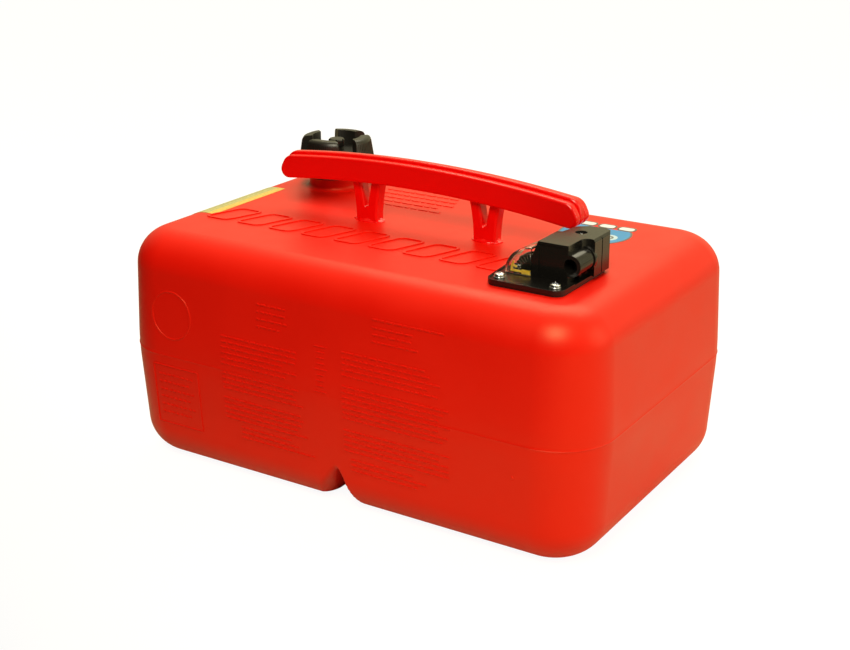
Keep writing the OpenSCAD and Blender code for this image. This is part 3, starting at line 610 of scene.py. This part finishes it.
def bar_outline(rise):
    """A rib's outline, seen from the front, with its top this much higher than the others'."""
    top = bar_length / 2 - bar_end_lean - bar_top_round
    low = bar_length / 2 - bar_bottom_round
    n_top = bar_height / 2 + rise - bar_top_round
    n_low = -bar_height / 2 + bar_bottom_round
    # where the end's straight stretch touches both rounds
    step = Vector((top - low, n_top - n_low))
    end_angle = math.degrees(
        math.atan2(step.y, step.x) - math.acos((bar_bottom_round - bar_top_round) / step.length)
    )
    along = [1 - 2 * k / bar_steps for k in range(1, bar_steps)]
    straight = (
        arc(-low, n_low, bar_bottom_round, 180 - end_angle, 270, round_steps)
        + [(-low * t, n_low - bar_bottom_round) for t in along]
        + arc(low, n_low, bar_bottom_round, -90, end_angle, round_steps)
        + arc(top, n_top, bar_top_round, end_angle, 90, round_steps)
        + [(top * t, n_top + bar_top_round) for t in along]
        + arc(-top, n_top, bar_top_round, 90, 180 - end_angle, round_steps)
    )
    return [bend(s, n) for s, n in straight]


def slab(name, outline, middle_y, deep, edge_round):
    """An outline in the XZ plane made deep along Y, with both its rims rounded."""
    points = [(x, middle_y - deep / 2, z) for x, z in outline]
    piece = sketch(name, points, [], [range(len(outline))])
    choose_all(piece)
    bpy.ops.mesh.extrude_region_move(TRANSFORM_OT_translate={"value": (0, deep, 0)})
    bpy.ops.mesh.select_all(action="SELECT")
    bpy.ops.mesh.normals_make_consistent(inside=False)
    choose(piece, "EDGE", lambda a, b: abs(a.y - b.y) < deep / 2)
    bpy.ops.mesh.bevel(offset=edge_round, segments=4, clamp_overlap=False)
    bpy.ops.object.mode_set(mode="OBJECT")
    return piece


handle_parts = [
    slab("rib", bar_outline(rise), side * rib_pitch, rib_pitch, rib_edge)
    for side, rise in ((-1, 0), (0, middle_rise), (1, 0))
]

# one post, seen from the front: the crotch of its V, and an outer side that curves in a little
post_deep, post_top_half, post_foot_half, strut = 13 * mm, 17 * mm, 11 * mm, 10.5 * mm
post_high, post_waist, post_edge, crotch = hand_clearance + 4 * mm, 1.4 * mm, 2.2 * mm, 14 * mm
waist_steps = 10
post_half = [(0.5 * mm, crotch), (1.5 * mm, crotch + 1.2 * mm), (post_top_half - strut, post_high)]
for k in range(waist_steps, -1, -1):
    up = k / waist_steps
    flare = (post_top_half - post_foot_half) * up - post_waist * math.sin(math.pi * up)
    post_half.append((post_foot_half + flare, post_high * up))
post_outline = post_half + [(-x, z) for x, z in reversed(post_half)]
post = slab("post", post_outline, 0, post_deep, post_edge)

# the collar, turned round, then drawn out to an oval and made wavy, each one in its own way
collar_radius, collar_reach, collar_hole, collar_high = 9.7 * mm, 16 * mm, 4 * mm, 3.4 * mm
collar_outline = (
    [(collar_hole, 0), (collar_radius, 0)]
    + arc(9.2 * mm, 0.5 * mm, 0.5 * mm, 0, 90, 3)
    + [(8.2 * mm, 1.5 * mm), (7.2 * mm, 2.4 * mm), (6.5 * mm, collar_high)]
    + [(collar_hole, collar_high)]
)
collar = lathe("collar", collar_outline, (0, 0, 0))
both_ends = zip((-1, 1), copies(post, 2), copies(collar, 2))
for side, this_post, this_collar in both_ends:
    foot = Vector((handle_x + side * post_offset, 0, tank_top))
    this_post.data.transform(Matrix.Translation(foot))
    for point in this_collar.data.vertices:
        spot = point.co + Vector((side * 0.05, 0, 0))
        swell = 0.96 + 0.1 * noise.noise(spot * 330)
        lumps = 1 + 0.45 * noise.noise(spot * 520)
        point.co.x *= swell * collar_reach / collar_radius
        point.co.y *= swell
        point.co.z *= lumps
        point.co += foot
    handle_parts += [this_post, this_collar]
for part in handle_parts:
    smooth(part, 50)
handle = join(handle_parts)
handle.name = "carrying_handle"
handle_red = moulded("handle_red", (0.8, 0.001, 0.0006), 0.22, grain=0.01, drift=0.08)
paint(handle, handle_red)
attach(handle, "tank")
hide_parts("handle")

# ---- Outlet plate and head ----
# Glossy black mouldings: the plate lies on its gasket over the tank's opening, and the head
# stands on it. Four plated screws with washers go down into brass inserts, one through the head.
black = moulded("black_plastic", (0.006, 0.0055, 0.005), 0.22, grain=0.02)
rubber = moulded("seal_rubber", (0.02, 0.02, 0.02), 0.7, grain=0.08)


def blend_colour(tree, factor, low, high):
    """A colour between two others, by a factor from 0 to 1."""
    inputs = {"Factor": factor, "A": low, "B": high}
    return put(tree, "Mix", inputs, data_type="RGBA").outputs["Result"]


def make_tool_marks():
    """Node group for every metal: fine marks that change its gloss and its shade."""
    group, given, result = new_group(
        "tool_marks",
        {"Colour": "Color", "Gloss loss": "Float", "Lines to the metre": "Float"},
        {"Base Color": "Color", "Roughness": "Float"},
    )
    noise_inputs = {"Vector": object_place(group), "Scale": given["Lines to the metre"]}
    lines = put(group, "TexNoise", noise_inputs).outputs["Fac"]
    least = work_out(group, "SUBTRACT", given["Gloss loss"], 0.08)
    most = work_out(group, "ADD", given["Gloss loss"], 0.12)
    rough = put(group, "MapRange", {"Value": lines, "To Min": least, "To Max": most})
    darker = put(group, "VectorMath", {0: given["Colour"], "Scale": 0.85}, operation="SCALE")
    shade = blend_colour(group, lines, darker.outputs[0], given["Colour"])
    feed(result, {"Base Color": shade, "Roughness": rough.outputs["Result"]})
    return group


tool_marks = make_tool_marks()


def metal(name, colour, rough, lines):
    """A metal with faint tool marks; lines is how fine they are."""
    material = new_material(name)
    values = {"Colour": colour, "Gloss loss": rough, "Lines to the metre": lines}
    marked = put(material.node_tree, "Group", values, node_tree=tool_marks).outputs
    shine = {"Base Color": marked["Base Color"], "Roughness": marked["Roughness"]}
    feed(shader_of(material), {"Metallic": 1, **shine})
    return material


def dress(name, material, edge_round=0, segments=2, merge_flat=True):
    """Gives a CAD node its material and, where asked, small rounds on its sharp edges. Its flat
    faces are merged first, but not where a flat face has a hole, because it wouldn't close."""
    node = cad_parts[name]
    paint(node, material)
    if edge_round:
        node.modifiers.new("weld", "WELD").merge_threshold = 0.001 * mm
        if merge_flat:
            flat = node.modifiers.new("flat faces", "DECIMATE")
            flat.decimate_type = "DISSOLVE"
            flat.angle_limit = math.radians(0.5)
        rounds = node.modifiers.new("rounds", "BEVEL")
        rounds.width = edge_round
        rounds.segments = segments
        rounds.limit_method = "ANGLE"
        rounds.angle_limit = math.radians(35)
        rounds.harden_normals = True
        rounds.miter_outer = "MITER_ARC"


nickel = metal("plated_steel", (0.86, 0.88, 0.94), 0.2, 2500)
brass = metal("insert_brass", (0.7, 0.45, 0.15), 0.3, 2500)
dress("thread_inserts", brass, 0.2 * mm)
dress("outlet_gasket", rubber, 0.2 * mm)
dress("outlet_plate", black, 0.4 * mm)
dress("outlet_head", black, 0.7 * mm, 3)
dress("outlet_washers", nickel, 0.15 * mm)
dress("outlet_screws", nickel, 0.15 * mm)

# ---- Fuel gauge ----
# A clear acrylic quarter drum over a toothed black dial and a yellow needle. The needle's steel
# shaft also carries the wire arm of the foam float inside the tank.
acrylic = new_material("clear_acrylic")
haze_inputs = {"Vector": object_place(acrylic.node_tree), "Scale": 300}
haze = put(acrylic.node_tree, "TexNoise", haze_inputs).outputs["Fac"]
haze_rough = put(acrylic.node_tree, "MapRange", {"Value": haze, "To Min": 0, "To Max": 0.06})
feed(
    shader_of(acrylic),
    {
        "Base Color": (0.96, 0.98, 0.97),
        "Transmission Weight": 1,
        "IOR": 1.49,
        "Roughness": haze_rough.outputs["Result"],
    },
)
dress("gauge_lens", acrylic, 0.3 * mm)
dress("lens_seal", rubber)
dial_black = moulded("dial_black", (0.003, 0.003, 0.003), 0.6)
feed(shader_of(dial_black), {"Specular IOR Level": 0.2})
dress("gauge_dial", dial_black, 0.15 * mm)
needle_yellow = moulded("needle_yellow", (0.9, 0.58, 0.06), 0.3, grain=0.01)
dress("gauge_needle", needle_yellow, 0.15 * mm)
wire_steel = metal("wire_steel", (0.6, 0.6, 0.6), 0.28, 1500)
for name in ("needle_shaft", "float_arm", "float_clip"):
    dress(name, wire_steel)
foam = moulded("float_foam", (0.03, 0.03, 0.03), 0.85, grain=0.3)
dress("gauge_float", foam, 0.5 * mm)

# ---- Pick-up ----
# A natural nylon tube, pressed on the spigot under the plate. It ends in a white nylon strainer
# just above the tank's floor.
nylon = moulded("natural_nylon", (0.72, 0.68, 0.56), 0.4)
dress("pickup_tube", nylon)
dress("pickup_strainer", moulded("white_nylon", (0.78, 0.78, 0.74), 0.4), 0.2 * mm)

# ---- Filler cap ----
# Satin black moulding with four merlons round its crown and fine ribs down its side, on a
# rubber ring, with the small vent screw in its middle.
cap_black = moulded("cap_plastic", (0.009, 0.008, 0.0065), 0.36, grain=0.04)
dress("cap_gasket", rubber)
dress("cap_shell", cap_black, 0.5 * mm, 3, merge_flat=False)
dress("vent_seal", rubber)
dress("vent_screw", cap_black, 0.4 * mm)
cap_low, cap_high = corners("cap_shell")
cap_height = cap_high.z - cap_low.z
cap_base_radius, cap_top_radius = 39 * mm, 33.3 * mm
cap_lean = (cap_base_radius - cap_top_radius) / cap_height
# where the notches between the merlons are: the first one's turn, their half width and how often
# one comes, all in degrees
notch_depth, notch_turn, notch_half, notch_every = 14 * mm, 54, 17, 90
rib_count, rib_low, below_crown, below_notch = 96, 1.5 * mm, 4 * mm, 1 * mm
rib_out, rib_in, rib_outer_half, rib_inner_half = 0.3 * mm, -1 * mm, 0.35 * mm, 0.8 * mm


def shape_rib(high):
    """A rib at the right of the cap's middle, leaning with its side and up to this height."""
    bpy.ops.mesh.primitive_cube_add(size=1, location=(0, 0, 0))
    rib = bpy.context.object
    for point in rib.data.vertices:
        z = high if point.co.z > 0 else rib_low
        out = cap_base_radius - cap_lean * z + (rib_out if point.co.x > 0 else rib_in)
        half = rib_inner_half if point.co.x < 0 else rib_outer_half
        point.co = Vector((out, half if point.co.y > 0 else -half, z))
    return rib


long_rib = shape_rib(cap_height - below_crown)
short_rib = shape_rib(cap_height - (notch_depth + below_notch))
cap_middle = Matrix.Translation((neck_x, neck_y, cap_low.z))
cap_ribs = []
for k in range(rib_count):
    turn = math.tau * k / rib_count
    from_notch = math.degrees(turn) - notch_turn + notch_every / 2
    off_notch = abs(from_notch % notch_every - notch_every / 2)
    rib = copies(short_rib if off_notch < notch_half else long_rib, 2)[1]
    rib.data.transform(cap_middle @ Matrix.Rotation(turn, 4, "Z"))
    cap_ribs.append(rib)
for pattern in (long_rib, short_rib):
    bpy.data.objects.remove(pattern)
cap_rib_set = join(cap_ribs)
cap_rib_set.name = "cap_ribs"
smooth(cap_rib_set, 30)
paint(cap_rib_set, cap_black)
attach(cap_rib_set, "cap")

# ---- Labels ----
# Thin printed films, stuck on the body: a yellow one over the left top edge, a round blue one and
# a row of three white cells. Each is a plain field of colour.


def film(name, rough, colour_of):
    """A printed film; colour_of draws its colour in the material's nodes."""
    material = new_material(name)
    colour = colour_of(material.node_tree)
    feed(shader_of(material), {"Roughness": rough, "Base Color": colour})
    return material


# the yellow film: an outer and an inner band, with faint flecks in rows
band_wide, fleck_pitch, fleck_share, fleck_ink = 8 * mm, 4 * mm, 0.3, 0.35


def yellow_print(tree):
    place = object_place(tree)
    x = put(tree, "SeparateXYZ", {0: place}).outputs["X"]
    inner = work_out(tree, "LESS_THAN", x, corners("edge_label")[1].x - band_wide)
    bands = blend_colour(tree, inner, (0.8, 0.56, 0.11), (0.56, 0.52, 0.2))
    across = work_out(tree, "FRACT", work_out(tree, "MULTIPLY", x, 1 / fleck_pitch))
    row = work_out(tree, "LESS_THAN", across, fleck_share)
    spots = put(tree, "TexNoise", {"Vector": place, "Scale": 180}).outputs["Fac"]
    flecks = work_out(tree, "MULTIPLY", work_out(tree, "GREATER_THAN", spots, 0.5), row)
    ink = work_out(tree, "MULTIPLY", flecks, fleck_ink)
    return blend_colour(tree, ink, bands, (0.2, 0.18, 0.05))


dress("edge_label", film("yellow_film", 0.35, yellow_print))

# the blue film, with a dark outline, and a pale roundel with a dark hoop on it
decal_low, decal_high = corners("round_decal")
decal_radius = (decal_high.x - decal_low.x) / 2
decal_x, decal_y = (decal_low.x + decal_high.x) / 2, decal_low.y + decal_radius
roundel_x, roundel_y = decal_x + 15 * mm, decal_y - 6 * mm
outline_wide, roundel_radius, hoop_inner, hoop_outer = 1.8 * mm, 9 * mm, 3.5 * mm, 5.5 * mm
outline_dark = (0.12, 0.13, 0.13)


def blue_print(tree):
    place = object_place(tree)

    def distance_to(x, y):
        inputs = {0: place, 1: (x, y, tank_top)}
        return put(tree, "VectorMath", inputs, operation="DISTANCE").outputs["Value"]

    from_middle = distance_to(decal_x, decal_y)
    rim = work_out(tree, "GREATER_THAN", from_middle, decal_radius - outline_wide)
    field = blend_colour(tree, rim, (0.02, 0.27, 0.62), outline_dark)
    from_roundel = distance_to(roundel_x, roundel_y)
    roundel = work_out(tree, "LESS_THAN", from_roundel, roundel_radius)
    field = blend_colour(tree, roundel, field, (0.5, 0.68, 0.78))
    inside = work_out(tree, "LESS_THAN", from_roundel, hoop_outer)
    outside = work_out(tree, "GREATER_THAN", from_roundel, hoop_inner)
    hoop = work_out(tree, "MULTIPLY", inside, outside)
    return blend_colour(tree, hoop, field, outline_dark)


dress("round_decal", film("blue_film", 0.3, blue_print))


# the three cells: rounded white tiles of film, each in a thin dark frame
def make_film_mottle():
    """Node group for the cells' films: each wanders between two near shades."""
    group, given, result = new_group(
        "film_mottle", {"Darker": "Color", "Lighter": "Color"}, {"Base Color": "Color"}
    )
    cloud = put(group, "TexNoise", {"Vector": object_place(group), "Scale": 90}).outputs["Fac"]
    feed(result, {"Base Color": blend_colour(group, cloud, given["Darker"], given["Lighter"])})
    return group


film_mottle = make_film_mottle()


def mottled(darker, lighter):
    values = {"Darker": darker, "Lighter": lighter}
    return lambda tree: put(tree, "Group", values, node_tree=film_mottle).outputs["Base Color"]


white_film = film("white_film", 0.3, mottled((0.72, 0.76, 0.82), (0.82, 0.86, 0.92)))
dark_film = film("dark_film", 0.3, mottled((0.09, 0.09, 0.08), (0.14, 0.13, 0.12)))
cell_low, cell_high = corners("cell_decal")
cell_middle = (cell_low + cell_high) / 2
cell_pitch, cell_long, cell_round, cell_frame = 19 * mm, 17.5 * mm, 5 * mm, 1.8 * mm
film_thick = cell_high.z - cell_low.z
bpy.ops.mesh.primitive_plane_add(size=1, location=(0, 0, 0))
first_cell = bpy.context.object
first_cell.data.materials.append(dark_film)
first_cell.data.materials.append(white_film)
choose_all(first_cell)
bpy.ops.transform.resize(value=(cell_long, cell_high.y - cell_low.y, 1))
bpy.ops.mesh.bevel(offset=cell_round, segments=6, affect="VERTICES")
bpy.ops.mesh.select_all(action="SELECT")
bpy.ops.mesh.extrude_region_move(TRANSFORM_OT_translate={"value": (0, 0, film_thick)})
bpy.ops.mesh.inset(thickness=cell_frame, depth=0)
first_cell.active_material_index = 1
bpy.ops.object.material_slot_assign()
bpy.ops.mesh.select_all(action="SELECT")
bpy.ops.mesh.normals_make_consistent(inside=False)
bpy.ops.object.mode_set(mode="OBJECT")
cells = copies(first_cell, 3)
for k, cell in enumerate(cells):
    cell_x = cell_middle.x + (k - 1) * cell_pitch
    cell.data.transform(Matrix.Translation((cell_x, cell_middle.y, cell_low.z)))
cell_row = join(cells)
cell_row.name = "white_cells"
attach(cell_row, "tank")
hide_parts("cell_decal")

# ---- Studio ----
# A white table under a big soft key lamp high on the right, with lamps above the back and on the
# right. The room behind the camera's left shoulder is dark, and the table's colour there is painted
# shade, so that blacks stay deep there.
bpy.context.scene.view_settings.view_transform = "Standard"
world = bpy.data.worlds.new("studio")
bpy.context.scene.world = world
world.use_nodes = True
sky = world.node_tree
bright_way = Vector((0.45, 0.72, 0.53)).normalized()
direction = put(sky, "TexCoord", {}).outputs["Generated"]
brighter = put(sky, "VectorMath", {0: direction, 1: bright_way}, operation="DOT_PRODUCT")
room_light = put(
    sky, "MapRange", {"Value": brighter.outputs["Value"], "From Min": -0.35, "From Max": 0.85}
).outputs["Result"]
room = sky.nodes["Background"]
feed(room, {"Color": (1, 0.9, 0.6), "Strength": work_out(sky, "MULTIPLY", room_light, 0.66)})

# the backdrop is white to the camera and through the lens, and warm in what the gloss reflects
sky_ray = put(sky, "LightPath", {}).outputs
backdrop_colour = blend_colour(sky, sky_ray["Is Glossy Ray"], (1, 1, 1), (0.82, 0.74, 0.4))
backdrop = put(sky, "Background", {"Color": backdrop_colour})
direct = work_out(sky, "MAXIMUM", sky_ray["Is Camera Ray"], sky_ray["Is Transmission Ray"])
reflected = work_out(sky, "MULTIPLY", sky_ray["Is Glossy Ray"], room_light)
shown = work_out(sky, "MAXIMUM", direct, reflected)
which = put(sky, "MixShader", {"Fac": shown, 1: room.outputs[0], 2: backdrop.outputs[0]})
feed(sky.nodes["World Output"], {"Surface": which.outputs[0]})


def add_softbox(name, place, size, watts):
    """A rectangular lamp that faces the middle of the tank."""
    bpy.ops.object.light_add(type="AREA", location=place)
    lamp = bpy.context.object
    lamp.name = name
    lamp.data.shape = "RECTANGLE"
    lamp.data.size, lamp.data.size_y = size
    lamp.data.energy = watts
    lamp.data.color = (1, 0.93, 0.72)
    way = Vector((0, 0, tank_top / 2)) - Vector(place)
    lamp.rotation_euler = way.to_track_quat("-Z", "Y").to_euler()


add_softbox("key_lamp", (0.6, -1.5, 1.9), (0.9, 0.9), 46)
add_softbox("top_lamp", (-0.2, 0.9, 1.7), (1.6, 1.0), 19)
add_softbox("right_lamp", (1.9, 0.5, 0.9), (1.0, 1.2), 8)

# the table shows white to the camera, with a faint shadow; the colour that the lamps and the gloss
# see falls off to near black at the front left, painted shade that stands in for the unlit room
# there
bpy.ops.mesh.primitive_plane_add(size=12)
floor = bpy.context.object
floor.name = "floor"
floor_white = new_material("floor_white")
table = floor_white.node_tree
table_inputs = {0: object_place(table), 1: (-0.5, -0.85, 0)}
front_left = put(table, "VectorMath", table_inputs, operation="DOT_PRODUCT").outputs["Value"]
# painted shade: the table's colour darkens towards the front left, so that the fronts reflect dark
shade_fall_off = put(table, "MapRange", {"Value": front_left, "From Min": 0.2, "From Max": 0.46})
table_colour_and_painted_shade = blend_colour(
    table, shade_fall_off.outputs["Result"], (0.62, 0.54, 0.36), (0.02, 0.018, 0.01)
)
feed(shader_of(floor_white), {"Roughness": 0.8, "Base Color": table_colour_and_painted_shade})
glow = put(table, "Emission", {"Strength": 1.3})
table_ray = put(table, "LightPath", {}).outputs["Is Camera Ray"]
glow_share = work_out(table, "MULTIPLY", table_ray, 0.72)
lit_table = shader_of(floor_white).outputs[0]
mixed = put(table, "MixShader", {"Fac": glow_share, 1: lit_table, 2: glow.outputs[0]})
feed(table.nodes["Material Output"], {"Surface": mixed.outputs[0]})
paint(floor, floor_white)
